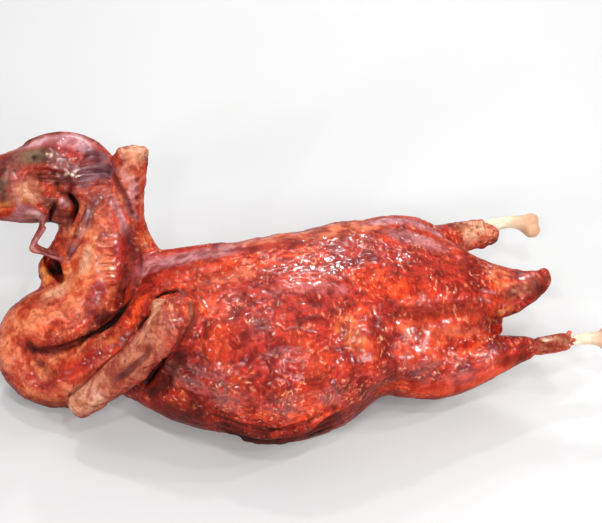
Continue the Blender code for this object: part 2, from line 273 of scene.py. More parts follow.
# Two layers of loose skin that sag under the breast, one below the other
PLEATS = (
    (
        (-5.2, -8, 3.7, 0.05, 0.05), (-3.7, -9.05, 3.65, 0.24, 0.2), (-2.2, -9.7, 3.6, 0.3, 0.24),
        (-0.8, -10, 3.8, 0.28, 0.22), (0.5, -10.05, 4.05, 0.22, 0.18), (1.9, -9.75, 4.5, 0.05, 0.05),
    ),
    (
        (-4.6, -8.2, 2.9, 0.05, 0.05), (-3.1, -9, 2.75, 0.26, 0.2), (-1.6, -9.6, 2.9, 0.32, 0.24),
        (-0.3, -9.85, 3.15, 0.26, 0.2), (1, -9.75, 3.5, 0.05, 0.05),
    ),
)
raised = [rod(rows) for rows in (WING_LIP, WIND_STRAND, TWISTED_STRAND, UPPER_LID, LOWER_LID)]
raised += [lump(*row) for row in LUMPS]
raised += [rod(rows) for rows in PLEATS]

# The windpipe's second strand is twisted, and tatters of dry meat cling to the near shank
for number in range(9):
    t = number / 8
    swing = 0.1 * math.sin(2.2 * number)
    raised.append(lump(-10.7 - 1.6 * t, 4.9 - 1.35 * t + swing, 10.5 - 2.4 * t, 0.17, 0.13, 0.2))
for number in range(8):
    t = number / 7
    size = 0.2 + 0.06 * math.sin(2.9 * number)
    swing = 0.25 * math.sin(1.7 * number)
    raised.append(lump(15.7 + 2.4 * t, -6.9 + swing, 4.6 + 0.1 * t, 1.5 * size, size, size))

# Stubs of quills and shreds of skin along the lower edge of the tail
for number in range(9):
    t = number / 8
    size = 0.16 + 0.05 * math.sin(2.6 * number)
    raised.append(lump(17.5 - 3.3 * t, -3.25 - 1.45 * t, 6.2 - 0.35 * t, 1.3 * size, size, 1.2 * size))

SKIN_VOXEL = 0.001
bird = weld_together([bird] + raised, "roast_duck_skin")
modify(bird, "REMESH", mode="VOXEL", voxel_size=SKIN_VOXEL)
modify(bird, "SMOOTH", factor=0.5, iterations=8)
print("faces in the even skin:", len(bird.data.polygons))

# %% [markdown]
# ## Sculpting by numbers
# Wrinkles and creases are pressed into the even skin afterwards, because remeshing would blur
# them. A sculptor would use brushes. Here each brush is a short function: it finds the skin points
# near a line or a spot and says how far each one moves along its own normal.

# %% Read the skin's points
skin = bird.data


def read(mesh, what):
    """One three-number property of all the mesh's vertices, as rows."""
    flat = np.empty(len(mesh.vertices) * 3)
    mesh.vertices.foreach_get(what, flat)
    return flat.reshape(-1, 3)


points = read(skin, "co") / CM
print("skin points:", len(points), "from", points.min(0).round(1), "to", points.max(0).round(1))

# %% Brushes


def cloud(size, octaves, shift=0.0):
    """Cloudy noise on the skin, about -1 to 1, with blobs `size` cm across."""
    return np.array([noise.fractal(place, 0.9, 2.1, octaves) for place in points / size + shift])


def plump(size, curl, stretch=1.0, shift=0.0):
    """Plump little folds about `size` cm across: 1 on their round tops, 0 in the creases between."""
    places = points / (size * np.asarray(stretch)) + shift
    values = [noise.noise(place + curl * np.array(noise.noise_vector(place * 0.5))) for place in places]
    return 1 - (1 - np.minimum(1.0, 2.0 * np.abs(values))) ** 2


def nearby(rows, reach):
    """The skin points within `reach` of a line: their numbers, distances and places along it."""
    line = smooth_rows(np.asarray(rows, float)[:, :3], 0.05)
    inside = np.where(((points > line.min(0) - reach) & (points < line.max(0) + reach)).all(1))[0]
    chunks = []
    for part in np.array_split(inside, max(1, len(inside) // 4000)):
        gaps = np.linalg.norm(points[part, None] - line[None], axis=2)
        chunks.append(np.column_stack((part, gaps.min(1), gaps.argmin(1))))
    found = np.vstack(chunks)
    found = found[found[:, 1] < reach]
    return found[:, 0].astype(int), found[:, 1], found[:, 2] / max(1, len(line) - 1)


def crease(rows, width=0.12, depth=0.1, lip=0.35):
    """Presses a groove into the skin, with a soft lip on both sides."""
    spots, gap, t = nearby(rows, 5 * width)
    groove = -np.exp(-((gap / width) ** 2)) + lip * np.exp(-(((gap - 2.2 * width) / width) ** 2))
    relief[spots] += depth * np.clip(4 * np.minimum(t, 1 - t), 0, 1) ** 0.7 * groove  # fades at both ends


def swell(x, y, z, radius, height):
    """Raises a round bump, or sinks a dent where the height is negative."""
    gap = np.linalg.norm(points - (x, y, z), axis=1) / radius
    relief[gap < 1] += height * (1 - gap[gap < 1] ** 2) ** 2


def settle():
    """Moves the skin by the relief gathered so far, and starts a new one."""
    global points, normals, relief
    points = points + normals * relief[:, None]
    skin.vertices.foreach_set("co", (points * CM).ravel())
    skin.update()
    normals = read(skin, "normal")
    relief = np.zeros(len(points))


normals = read(skin, "normal")
relief = np.zeros(len(points))

# %% [markdown]
# ## Masks: where each finish belongs
# A roast bird isn't one colour. Its neck is orange, its crown mauve, its wing stumps dry and
# terracotta, and some masks hold painted shade, sheen and glints. One way is a painted image, but
# an image needs an unwrap and a file. Masks are kept as one number per skin point instead, so the
# same mask can steer both relief and colour.

# %% Masks and the brushes that paint them
masks = {}
ragged_edge = cloud(0.7, 4)


def blank(name):
    """The named mask, empty where it is new."""
    return masks.setdefault(name, np.zeros(len(points)))


def dab(name, place, radius, amount=1.0, ragged=0.35):
    """Paints a soft round spot."""
    gap = np.linalg.norm(points - place, axis=1) / radius
    strength = np.clip(1.6 * (1 - gap) + ragged * ragged_edge, 0, 1) * (gap < 1.4)
    mask = blank(name)
    np.maximum(mask, amount * strength, out=mask)


def stroke(name, rows, width, amount=1.0, ragged=0.35):
    """Paints a soft line."""
    spots, gap, t = nearby(rows, 1.4 * width)
    strength = np.clip(1.6 * (1 - gap / width) + ragged * ragged_edge[spots], 0, 1)
    strength *= np.clip(8 * np.minimum(t, 1 - t) + 0.4, 0, 1)
    mask = blank(name)
    mask[spots] = np.maximum(mask[spots], amount * strength)


def paint(name, *marks):
    """Paints spots and lines of one zone. A mark is a point or a line, its reach and then as above."""
    for place, *settings in marks:
        (dab if np.ndim(place) == 1 else stroke)(name, place, *settings)


# %% [markdown]
# ## The large folds of the skin
# Roasting shrinks the meat, and the skin over it slides into long soft folds: a band over the
# shoulder, a shallow valley between the thigh and the back, pleats that sag under the belly.
# They are wide and low, so brushes with a wide reach make them, before the fine wrinkles.

# %% Folds of the trunk and legs
SHOULDER_CREASE = ((-7.6, -1.1, 8.6), (-5.7, -1.1, 9.1), (-3.5, -1, 9.4), (-1.9, -0.8, 9.6))
BACK_CREASE = ((-1.6, -2.2, 9.8), (0.6, -2, 9.9), (2.6, -2.4, 9.9), (4.6, -2.2, 9.7))
BACK_BAND = ((-1, -3.9, 9.7), (1.6, -4.2, 9.8), (4.2, -4.6, 9.4))
BELLY_BAND = ((-3.6, -7.1, 8.5), (-2.2, -7.4, 8.7), (0.7, -7.9, 8.6), (1.6, -8.1, 8.4))
KNEE_FILL = ((4.5, -6.8, 8.1), (4.8, -7.9, 7.2), (4.8, -8.7, 6.2), (4.9, -8.8, 5), (5, -8.2, 3.9))
THIGH_TOP = ((6.6, -6.7, 7.6), (8.6, -6.5, 7.2), (10.8, -6.2, 6.6), (12.8, -5.9, 5.6))
THIGH_VALLEY = (
    (5.8, -5.4, 8.5), (7.6, -5.6, 7.9), (9.2, -5.5, 7.6), (11, -5.3, 7.1), (12.4, -5.1, 6.4),
    (13.7, -4.9, 5.4),
)
FAR_THIGH = ((8.7, 1.7, 8.6), (10, 1.5, 8.3), (11.1, 1, 7.8), (11.7, -0.4, 7.9), (11.9, -1.8, 7.9))
TAIL_ROOT = ((13.1, 1.5, 6.6), (13.8, -1.4, 7.1), (13.5, -3.3, 7.2))
WING_TOP_EDGE = (
    (-6.1, -2.5, 9.3), (-5.4, -3.1, 9.8), (-5.1, -4, 9.8), (-5.3, -4.9, 9.5), (-5.8, -5.6, 9),
    (-6.4, -6, 8.2),
)
SAGGING_LAYERS = (
    ((-5, -8.2, 4.3), (-3.4, -9.2, 4.15), (-1.8, -9.9, 4.1), (-0.4, -10.1, 4.3), (1.4, -9.95, 4.7)),
    ((-4.8, -8.4, 3.8), (-3, -9.4, 3.65), (-1.4, -9.95, 3.7), (0.4, -10.05, 4), (2.2, -9.6, 4.3)),
    ((-4.6, -8.6, 3.3), (-2.6, -9.5, 3.15), (-1, -9.9, 3.3), (0.8, -9.95, 3.6), (2.6, -9.3, 3.8)),
    ((-4.2, -8.6, 2.7), (-2.2, -9.4, 2.6), (-0.6, -9.8, 2.8), (1.2, -9.7, 3.1), (3, -9, 3.2)),
)
ARMPIT_CREASES = (
    ((-7, -5.6, 8.4), (-6.2, -6, 7.8), (-5.4, -6.7, 7.6), (-4.5, -7.6, 7.5)),
    ((-6.9, -5.9, 6.6), (-6.1, -6.7, 6.7), (-5.3, -7.4, 6.8), (-4.2, -8.3, 6.8)),
    ((-7.6, -5.8, 4.7), (-6.8, -6.5, 5), (-5.9, -7.2, 5.1), (-4.8, -8.1, 5.5)),
    ((-7.4, -6, 5.7), (-6.4, -6.9, 5.8), (-5.4, -7.7, 6)),
)

for line, width, depth, lip in (
    (SHOULDER_CREASE, 0.3, 0.12, 0.35),
    (BACK_CREASE, 0.35, 0.07, 0.35),
    (BACK_BAND, 0.45, -0.08, 0.35),
    (BELLY_BAND, 0.35, -0.07, 0.35),
    (KNEE_FILL, 1.0, -0.3, 0.0),
    (THIGH_TOP, 0.5, -0.12, 0.35),
    (THIGH_VALLEY, 0.4, 0.16, 0.1),
    (WING_TOP_EDGE, 0.16, 0.2, 0.3),
    *[(line, 0.1, 0.17, 0.4) for line in SAGGING_LAYERS],
    (FAR_THIGH, 0.3, 0.1, 0.35),
    (TAIL_ROOT, 0.3, 0.12, 0.35),
    *[(line, 0.16, 0.13, 0.35) for line in ARMPIT_CREASES],
):
    crease(line, width, depth, lip)
relief += 0.06 * cloud(2.2, 2) + 0.03 * cloud(1.0, 2, shift=7.0)
settle()

# %% The near shank is thin above its bone
SHANK = ((15.4, -6.55, 4), (16.4, -6.55, 4.1), (17.4, -6.6, 4.2), (18.6, -6.7, 4.3))
spots, gap, t = nearby(SHANK, 1.2)
relief[spots] -= 0.22 * np.clip(4 * t, 0, 1) * np.clip(4 * (1 - t), 0.35, 1)
crease(((15.7, -7.3, 4.9), (15.8, -7.6, 4.3), (16, -7.4, 3.7)), width=0.16, depth=0.14, lip=0.6)
settle()

# %% The neck, the wings and the tail
WING_GROOVE = (
    (-8.2, -5.6, 8.4), (-8.5, -5.8, 7.7), (-9.1, -5.8, 7.2), (-9.8, -5.7, 6.4), (-10.4, -5.6, 5.8),
)
WING_EDGE = (
    (-9.1, -3.95, 7.4), (-9.7, -4.1, 7), (-10.5, -4.1, 6.3), (-11.3, -4.1, 5.6), (-12.1, -4.15, 4.8),
    (-12.9, -4.1, 4), (-13.6, -3.9, 3.1), (-14, -3.4, 2.4),
)
NECK_EDGE = (
    (-8.8, 6.2, 12.4), (-8.5, 5.5, 11.9), (-8.2, 4.9, 11.3), (-8, 4.3, 10.4), (-7.8, 3.7, 9.5),
    (-7.8, 3, 8.6), (-7.9, 2.2, 7.9), (-8.2, 0.9, 7.8), (-8.7, -0.3, 7.7), (-9.2, -1.2, 7.4),
)
LOOP_FOLDS = (
    ((-15.5, 0, 5.1), (-15.3, -0.4, 4.4), (-15, -0.8, 3.8), (-14.7, -1.2, 3.5)),
    ((-16.2, 0.2, 4.6), (-15.9, -0.5, 3.8), (-15.5, -1.2, 3.1), (-15, -2, 2.6)),
    ((-14.6, -1.6, 3.4), (-13.6, -2.2, 3.5), (-12.6, -2.6, 4.1)),
)

crease(WING_GROOVE, width=0.16, depth=0.16)
crease(WING_EDGE, width=0.13, depth=0.24, lip=0.1)
crease(NECK_EDGE, width=0.12, depth=0.22, lip=0.1)
NECK_RING = np.array(((-10.25, 4.0, 9.75), (-9.8, 3.95, 9.85), (-9.35, 3.8, 9.75)))
for number in range(9):
    drop = 0.33 * number
    shift = (0.12 * math.sin(2.4 * number), -drop, -1.05 * drop)
    crease(NECK_RING + shift, width=0.11, depth=0.1, lip=0.8)
for line in LOOP_FOLDS:
    crease(line, width=0.2, depth=0.14)
QUILL_PITS = [(-8.0, 6.4, 13.2)]
for number in range(4):
    QUILL_PITS.append((-7.3 - 0.06 * number, 5.4 - 0.3 * number, 12.1 - 0.5 * number))
for pit in QUILL_PITS:
    swell(*pit, 0.22, -0.12)
for x, y, z, height in ((-6.8, -4.6, 9.6, -0.1), (-7.2, -5.3, 9.2, -0.12), (-6.0, -5.0, 9.5, 0.08)):
    swell(x, y, z, 0.5, height)
settle()

# %% [markdown]
# ## The face
# The head is a skull under tight skin. It could be built from separate parts, but on the real
# bird nothing is separate, so the brow, the sunken eye, the cheek and the mouth line are pressed
# out of the same skin. Both sides get the same brushes, mirrored about the middle of the head.

# %% Brow, eye, cheek, ear and mouth
HEAD_MIDDLE = 7.72  # the y of the head's plane of symmetry, at the eyes


def both_sides(rows):
    """The rows as given, on the bird's left, and their mirror image on its right."""
    rows = np.asarray(rows, float)
    return rows, rows * (1, -1, 1) + (0, 2 * HEAD_MIDDLE, 0)


EYE_SLIT = ((-14, 6.4, 12.9), (-13.2, 6.3, 13), (-12.5, 6.25, 12.95), (-11.6, 6.2, 12.7))
EYE_FOLDS = (
    ((-13.8, 6.1, 12.5), (-13, 6.05, 12.6), (-12.2, 6.05, 12.4), (-11.5, 6, 12)),
    ((-14.2, 7, 13.5), (-13.2, 6.8, 13.5), (-12.2, 6.7, 13.4), (-11.2, 6.4, 13)),
)
MOUTH = ((-14.6, 6, 10.7), (-16.2, 6.2, 10.6), (-17.5, 6.2, 10.3), (-19, 6.3, 9.95), (-20.6, 6.7, 9.7))
CHEEK_LINE = ((-15.3, 7, 13.2), (-15.2, 6.4, 12.4), (-15.1, 6.1, 11.4), (-15, 6.1, 10.2))
FACE_FOLDS = (
    CHEEK_LINE,
    ((-14.6, 6.6, 12.8), (-14.5, 6.2, 11.8), (-14.3, 6, 10.9)),
    ((-14.4, 6, 10.6), (-13.8, 5.85, 10.4), (-13.3, 5.8, 9.9), (-13.4, 6, 9.3)),
    ((-14.6, 6.1, 9.9), (-14.1, 5.9, 9.6), (-13.6, 6.1, 9.2)),
)
NAPE_FOLDS = (
    ((-11.4, 5.8, 12), (-10.6, 5.75, 12.1), (-9.8, 5.7, 12), (-9, 5.7, 11.7)),
    ((-11.2, 5.95, 12.3), (-10.4, 6, 12.4), (-9.6, 6, 12.3), (-8.9, 6, 12)),
    ((-11.1, 6.2, 12.6), (-10.3, 6.3, 12.6), (-9.5, 6.4, 12.4), (-8.9, 6.5, 12.2)),
    ((-10.8, 6.5, 12.9), (-10, 6.7, 12.9), (-9.3, 6.8, 12.6)),
    ((-10.4, 7, 13.3), (-9.8, 7.2, 13.2), (-9.3, 7.3, 12.9)),
)

for lines, width, depth, lip in (
    ([EYE_SLIT], 0.15, 0.18, 0.5),
    ([MOUTH], 0.1, 0.13, 0.3),
    (EYE_FOLDS, 0.13, 0.08, 0.5),
    (FACE_FOLDS, 0.13, 0.1, 0.5),
):
    for line in lines:
        for side in both_sides(line):
            crease(side, width, depth, lip)
for line in NAPE_FOLDS:
    crease(line, width=0.1, depth=0.12, lip=0.6)
for side in both_sides(((-13.3, 6.3, 12.9), (-12.3, 5.9, 12.2), (-18.4, 7.1, 11.2), (-13.9, 6.0, 10.0))):
    eye, ear, nostril, jaw_pad = side
    swell(*eye, 0.9, -0.12)
    swell(*ear, 0.26, -0.26)
    swell(*nostril, 0.3, -0.12)
    swell(*jaw_pad, 0.7, 0.08)
settle()

# %% [markdown]
# ## Fine wrinkles
# The skin between the folds is never smooth: it has plump wrinkles a few millimetres across.
# Plain noise gives round lumps. The size of a noise, taken without its sign, gives plump folds with
# winding creases between them, and their tops break the gloss into small sparks. Tight bands of
# skin are left nearly smooth. The way the wrinkles curl is drawn at random. A draw without a seed
# starts from the clock and changes with every run, so one good draw is kept by its seed.

# %% Winding wrinkles, kept out of the tight bands
CURL_SEED = 1795336600
SHOULDER_BAND = ((-8.2, 1.5, 7.6), (-5.7, 1.3, 8.6), (-3.8, 1.3, 8.9), (-1.8, 1.2, 9.1), (2, 1.2, 9.4))
paint(
    "tight",
    (SHOULDER_BAND, 1.8, 0.9),
    (BACK_BAND, 0.7, 0.75),
    (BELLY_BAND, 0.6, 0.6),
    (THIGH_TOP, 0.8, 0.6),
    (((-14.6, 8, 13.6), (-12.5, 7.9, 14), (-10.5, 7.6, 13.6), (-9.4, 7, 12.8)), 1.2, 0.9),
    (((-8.9, 4.7, 10.9), (-8.4, 3.4, 9), (-8.3, 2.1, 7.5)), 0.8, 0.8),
    ((-18.5, 7.6, 10.5), 3.6, 0.9),
    (((4.5, -8.2, 3.6), (8, -8.9, 3.4), (12, -8.2, 3.6), (14.4, -7.5, 4)), 1.2, 0.9),
)

CRINKLED_SPOTS = (
    (1.5, -2.2, 9.8, 1.5), (3.6, -2.7, 9.7, 1.3), (-3.6, -4.4, 9.4, 1.5), (8.4, -1.9, 8.9, 1),
    (10.4, -8, 4.8, 1.5), (8.4, -7.6, 5.6, 1.7), (6.6, -7.6, 6, 0.9), (12.6, -7.3, 5, 1.3),
    (-7, -5.9, 6.3, 1.4), (-5.8, -7.2, 6.5, 1.6), (-4.2, -8.6, 6.2, 1.5), (-0.8, -9.8, 5.9, 1.4),
    (1.8, -9.5, 6, 1.2), (-1.6, -6.4, 9.1, 1), (4.6, -6.4, 8.2, 0.8), (-10, 2.2, 8.2, 1),
    (-10, 3.4, 9.4, 1), (-11.7, 6.7, 13.2, 1.3), (-12.2, 5.5, 10.9, 0.6), (-6.8, -5, 9.4, 0.9),
    (-7, -2.6, 9, 0.6), (-11.2, -2.2, 5.6, 0.7),
)
for *place, radius in CRINKLED_SPOTS:
    dab("crinkled", place, radius, 1.0, 0.5)
TEMPLE_BEADS = []
for number in range(32):
    along, across = number / 31, math.sin(2.4 * number)
    y, z = 6.8 - 0.4 * along + 0.5 * across, 13.3 - 0.4 * along + 0.4 * across
    TEMPLE_BEADS.append((-12.7 + 1.9 * along, y, z))
    swell(*TEMPLE_BEADS[-1], 0.22, 0.06)
TAIL_CRUST = []
for number in range(30):
    along, across = number / 29, math.sin(2.4 * number)
    y = -3.8 + 0.5 * along + across * (0.8 - 0.5 * along)
    TAIL_CRUST.append((13.8 + 3.2 * along, y, 6.7 + 0.4 * (y + 3.8)))
    swell(*TAIL_CRUST[-1], 0.24, (0.1, -0.08)[number % 2])

noise.seed_set(CURL_SEED)
wrinkle = plump(0.55, curl=0.9, stretch=(1.3, 1.0, 1.0))
crumple = plump(1.2, curl=0.8, stretch=(1.5, 1.0, 1.0), shift=3.0)
patches = np.clip(0.5 + 1.4 * cloud(2.4, 2, shift=11.0), 0.15, 1)
loose = (1 - 0.85 * blank("tight")) * np.maximum(patches, masks["crinkled"])
relief += loose * (0.06 * (wrinkle - 0.5) + 0.09 * (crumple - 0.5))
relief += (0.3 + masks["crinkled"]) * 0.025 * (plump(0.42, curl=0.7, shift=5.0) - 0.5)
settle()
points[:, 2] = np.maximum(points[:, 2], 0.0)
settle()
# Painted shade for the creases between the wrinkles
masks["furrow"] = loose * np.clip(1 - 1.8 * np.minimum(wrinkle, 0.2 + crumple), 0, 1)
print("wrinkles pressed in; masks so far:", sorted(masks))

# %% [markdown]
# ## Painting the masks
# The colours of a glazed bird change slowly over its body: brick red on the back and thighs,
# orange where the skin is thin over the neck, mauve over the skull, dry terracotta on the wing
# stumps. Light and shade are painted in too: a pale sheen along the crown and the upper edges,
# pale glints, and deep brown shade in each fold and under the body. Each zone is painted with a
# few wide strokes.

# %% Lines that the colours follow
NECK_LINE = (
    (-10.2, 5, 11), (-11, 3.8, 9.1), (-11.2, 1.9, 7.4), (-13.2, 0.9, 6.5), (-15.2, 0.8, 5.7),
    (-16.4, 0, 4.2), (-15.2, -2, 3), (-13, -2.3, 4.4), (-11, -2.5, 5.8),
)
NECK_FLANK = (
    (-8.6, 4.2, 9.6), (-8.4, 3.2, 8.6), (-8.6, 2.4, 7.7), (-8.9, 1.8, 7), (-9.3, 1, 6.6),
    (-9.9, -0.6, 6.6),
)
WING_LINE = (
    (-6.6, -4.4, 9.5), (-8.2, -5.2, 8.2), (-10.4, -5.3, 6), (-12.2, -5.1, 4.2), (-13.8, -4.7, 2.9),
)
FAR_WING_LINE = ((-7.4, 6.4, 13.4), (-7.8, 5.2, 12), (-7.9, 4.4, 10.4), (-7.6, 3.8, 9.2))
CROWN_LINE = ((-14.4, 8.7, 13.5), (-12.9, 8.6, 13.9), (-11.4, 8.4, 14), (-9.8, 7.8, 13.3))


def inside(rows):
    """The points of a cut's rows, moved into it by most of its depth."""
    rows = np.asarray(rows, float)
    return rows[:, :3] + 0.8 * rows[:, 4:5] * unit(np.array(AWAY))


WINDPIPE_LINE = ((-13.3, 6, 9.8), (-13.8, 5.2, 9), (-14.2, 4.8, 8.4), (-12.1, 4.2, 7.4))

# %% Bright zones: red-orange, salmon, amber, crimson and cream, with painted sheen and pale painted glints
paint(
    "ember",
    (((6, -8.2, 3.6), (9.1, -8.4, 3.6), (12, -8, 3.8), (14, -7.4, 4)), 1.3),
    (((-5.6, -3.6, 9.2), (-4.6, -4.4, 9.4), (-3.4, -4, 9.6)), 1.0),
    (((-3, -0.6, 9.6), (0, -0.8, 9.8), (3, -0.6, 9.6)), 1.0, 0.9),
    (((5, -3, 9.6), (7, -4.2, 9), (8.4, -4.6, 8.4)), 1.3, 0.9),
    (((-4, -8.9, 4.6), (-1, -9.9, 4.9), (2, -9.7, 5)), 0.9, 0.9),
    (((-8, 5, 10), (-7.8, 4, 9.2), (-7.6, 3.2, 8.6)), 0.7, 0.5),
    (((-5, 4, 6.2), (0, 4.2, 6.2), (5, 4.7, 6)), 1.6, 0.7),
    (((6, -7.4, 6.9), (8.4, -7.3, 6.3), (10.6, -7.1, 5.7), (12.2, -6.8, 5.2)), 0.9, 0.8),
    (((-9.2, -2.6, 7.2), (-8.6, -2, 7.7), (-7.9, -1.2, 8.2)), 0.6, 0.8),
    (((-13.6, -2.4, 3.6), (-12.4, -2.6, 4.5), (-11.2, -2.8, 5.5), (-10, -3, 6.6)), 0.9, 0.9),
    (((-14.8, 0.2, 5.6), (-13.4, -0.2, 5.9), (-12.2, 0.2, 6.4)), 0.5, 0.5), ((4.4, -6.4, 9), 1.3),
    ((14.2, -3.4, 6.8), 1.0, 0.8), ((-11.3, 7.2, 13.6), 0.7, 0.9),
)
paint(
    "salmon",
    (NECK_LINE, 2.4), (np.array(NECK_LINE[:6]) + 3.2 * np.array(AWAY), 2.6, 0.7),
    (((8, 4.4, 6.4), (11, 4.1, 6)), 1.2, 0.5),
    # Painted sheen along the far edge of the back
    (((2, 1, 9.4), (5.6, 1.4, 9.2), (8.6, 1.8, 8.8)), 1.1, 0.6),
    # Painted highlight along the top of the near thigh
    (((6.6, -6.6, 7.8), (8.8, -6.7, 6.9), (10.8, -6.4, 6.1), (12.4, -6.3, 5.4)), 0.9, 0.35),
    (((-1.8, 1.6, 9.1), (1, 1.7, 9.2), (4, 1.9, 9.1), (6.6, 2.1, 8.9)), 0.9, 0.8),
    (((-4.4, -1.6, 9.5), (-2.6, -1.8, 9.7), (-1.2, -2, 9.8)), 0.9, 0.45),
    ((14.6, -2.3, 7.1), 1.0, 0.9), ((-14.1, 5.9, 11.7), 1.2, 0.9),
)
paint(
    "amber",
    (((-15.6, 6.4, 11.2), (-17.4, 6.6, 10.9), (-19.6, 7, 10.5), (-21.4, 7.6, 10.2)), 1.0, 0.8),
    (((3.2, -6.4, 9.1), (3.7, -7.1, 8.6), (4.1, -7.8, 7.7)), 1.1, 0.35),
    (((-12.9, 3.2, 7.6), (-12.4, 2.2, 7.3), (-12, 1.6, 7.2)), 0.8, 0.8),
    (((-11.4, -1.9, 5.5), (-10.9, -2.2, 5.8), (-10.2, -2.5, 6.2)), 0.4, 0.8),
    (((-14.4, 4.6, 8.2), (-14.1, 3.9, 7.2), (-13.6, 3, 6.5)), 0.6, 0.8),
    ((-7.4, 3.5, 8.7), 0.8, 0.6), ((-7.4, -2.8, 9), 0.6), ((-15.8, 6.1, 11.2), 0.6),
    ((14.6, -4.75, 6), 0.35), ((14, -4.9, 5.9), 0.3), ((-7.4, 6.4, 13.5), 0.7, 0.8),
    ((14.3, -3.2, 7), 0.6, 0.8),
)
paint(
    "crimson",
    (((-15.6, 6.4, 10), (-17.6, 6.8, 9.7), (-20.4, 7.2, 9.5)), 0.5, 0.8),
    (((-6, 3.6, 3.4), (0, 4.2, 3.2), (6, 4.7, 3.2)), 1.6, 0.6),
    (((-12.2, -1.9, 4.9), (-11.3, -2.1, 5.6), (-10.6, -2.3, 6)), 0.5, 0.7),
    (((-12.6, -2.4, 4.4), (-11.6, -2.6, 5.2), (-10.6, -2.8, 6)), 0.5, 0.7),
    (((-10.8, 1.6, 7.6), (-10.6, 0.9, 7.2), (-11.4, 0.4, 6.8)), 0.7),
    (((-9.2, 3.4, 9.2), (-9, 2.4, 8), (-9.4, 1.4, 7.2)), 0.6, 0.9),
    (((-15.9, 0.2, 4.9), (-15.6, -0.5, 4.2)), 0.7, 0.8),
    (((-14, -2.2, 3.6), (-13.2, -2.4, 3.8), (-12, -2.4, 4.6), (-11.2, -2.6, 5.4)), 0.6, 0.8),
    (((-12, 7.6, 13.9), (-11.3, 7.3, 13.7), (-10.6, 7.1, 13.4)), 0.55),
    (((13.4, -6.8, 4.9), (14.4, -7, 4.6), (15.4, -7.1, 4.4)), 0.9, 0.9),
    (((7, -8.2, 4.4), (10, -8.2, 4.2), (13, -7.6, 4.3)), 0.9, 0.4),
    (((-6, -7.6, 4.8), (-4.4, -8.8, 4.4), (-2, -9.6, 4.2), (1, -9.6, 4)), 1.0, 0.8),
    (((-15.8, -1, 3), (-14.8, -2, 2.6), (-13.6, -2.4, 3.2)), 0.8, 0.8),
    ((-5.7, -7.5, 6), 0.9, 0.8), ((11.2, -4.8, 7.5), 0.8, 0.8), ((-11.3, -0.1, 6.3), 0.6, 0.9),
    ((-7.6, -5.5, 9.2), 0.35), ((-5, -8.2, 5.2), 1.2, 0.7), ((6.2, -5.6, 8.4), 1.2, 0.6),
    ((12.6, -3.2, 7.4), 1.0, 0.7),
)
paint(
    "cream",
    (((-12, 2.7, 7.6), (-12.7, 1.9, 7.2), (-13.6, 1.6, 6.9), (-14.5, 1.4, 6.4)), 0.7, 0.7),
    (((-10.9, 3.6, 8.8), (-11.2, 2.9, 8.1), (-11.8, 2.6, 7.7)), 0.6, 0.6),
    (((14, -4.9, 5.9), (14.8, -4.6, 6.1), (15.6, -4.2, 6.2), (16.4, -3.9, 6.2)), 0.16, 0.8, 0.5),
    (((-13.4, -4.6, 3), (-12.4, -5, 3.9), (-11.6, -5.2, 4.8)), 1.2, 0.5),
    (((-6.9, -3, 9.4), (-7.5, -3.8, 9.3), (-8, -4.5, 8.8)), 0.8),
    (((16, -6.4, 4.8), (16.9, -6.6, 4.7), (18, -7, 4.5)), 0.3, 0.7),
    (((13.6, 3.4, 5.6), (15.2, 3.6, 5.5), (16.2, 3.7, 5.4)), 1.1, 0.8),
    ((-7.2, 6.6, 13.4), 1.2, 1.0, 0.2), ((-14.1, 6, 11.7), 1.1, 0.6),
    ((-14.1, 5.9, 9.9), 0.6, 0.4),
)
# A pale streak along the near shank, and painted highlights as pale glints on the neck's rings and temple
paint(
    "pale",
    (((16.3, -6.6, 4.65), (17.1, -6.8, 4.5), (17.9, -7, 4.35)), 0.13, 0.9, 0.6),
)
for number in range(7):  # painted highlights: pale glints on the crests of the neck's rings and on the temple
    drop = 0.17 + 0.33 * number
    ring = ((-10.0, 4.0 - drop, 9.85 - 1.05 * drop), (-9.5, 3.85 - drop, 9.85 - 1.05 * drop))
    stroke("pale", ring, 0.12, 0.9, 0.7)
for number, (x, y, z) in enumerate(TEMPLE_BEADS):
    turn = 1.7 * number
    end = (x + 0.16 * math.cos(turn), y + 0.12 * math.sin(turn), z + 0.1 * math.sin(turn))
    stroke("pale", ((x, y, z), end), 0.13, 0.9, 0.7)
